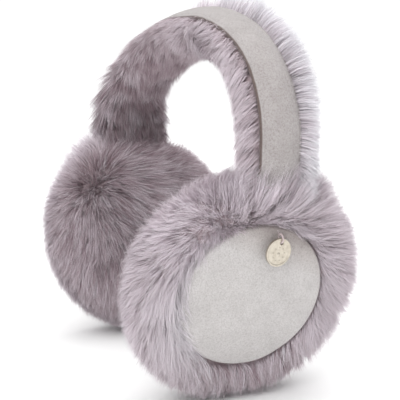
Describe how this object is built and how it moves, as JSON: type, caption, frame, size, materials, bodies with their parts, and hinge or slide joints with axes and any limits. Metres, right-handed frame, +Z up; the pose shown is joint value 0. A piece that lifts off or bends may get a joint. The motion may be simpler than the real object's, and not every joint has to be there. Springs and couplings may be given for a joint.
{
  "type": "earmuffs",
  "caption": "Fur earmuffs: a fur-lined band with a suede strap joins two deep fur muffs, each with a domed suede cap; a small round charm hangs on the right cap.",
  "frame": {"origin": "on the resting plane, in the middle of the outer box, midway between the two muffs", "axes": "+X from the left muff to the right muff, +Y from the wearer's face to the back of the head, +Z up to the crown of the band"},
  "size_m": [0.207, 0.1256, 0.1814],
  "materials": {
    "suede_strap": "warm grey suede, matt",
    "suede_cap": "light grey suede, matt",
    "muff_fur": "deep mauve-grey fur with paler tips",
    "band_fur": "mauve-grey fur",
    "charm_metal": "pale gold plate, satin",
    "thread": "twisted thread"
  },
  "bodies": {
    "root": {"band_cover": "suede_strap", "band_fur": "band_fur", "muff_fur_left": "muff_fur", "muff_fur_right": "muff_fur", "cap_left": "suede_cap", "cap_right": "suede_cap", "charm": "charm_metal", "charm_thread": "thread"}
  },
  "joints": []
}
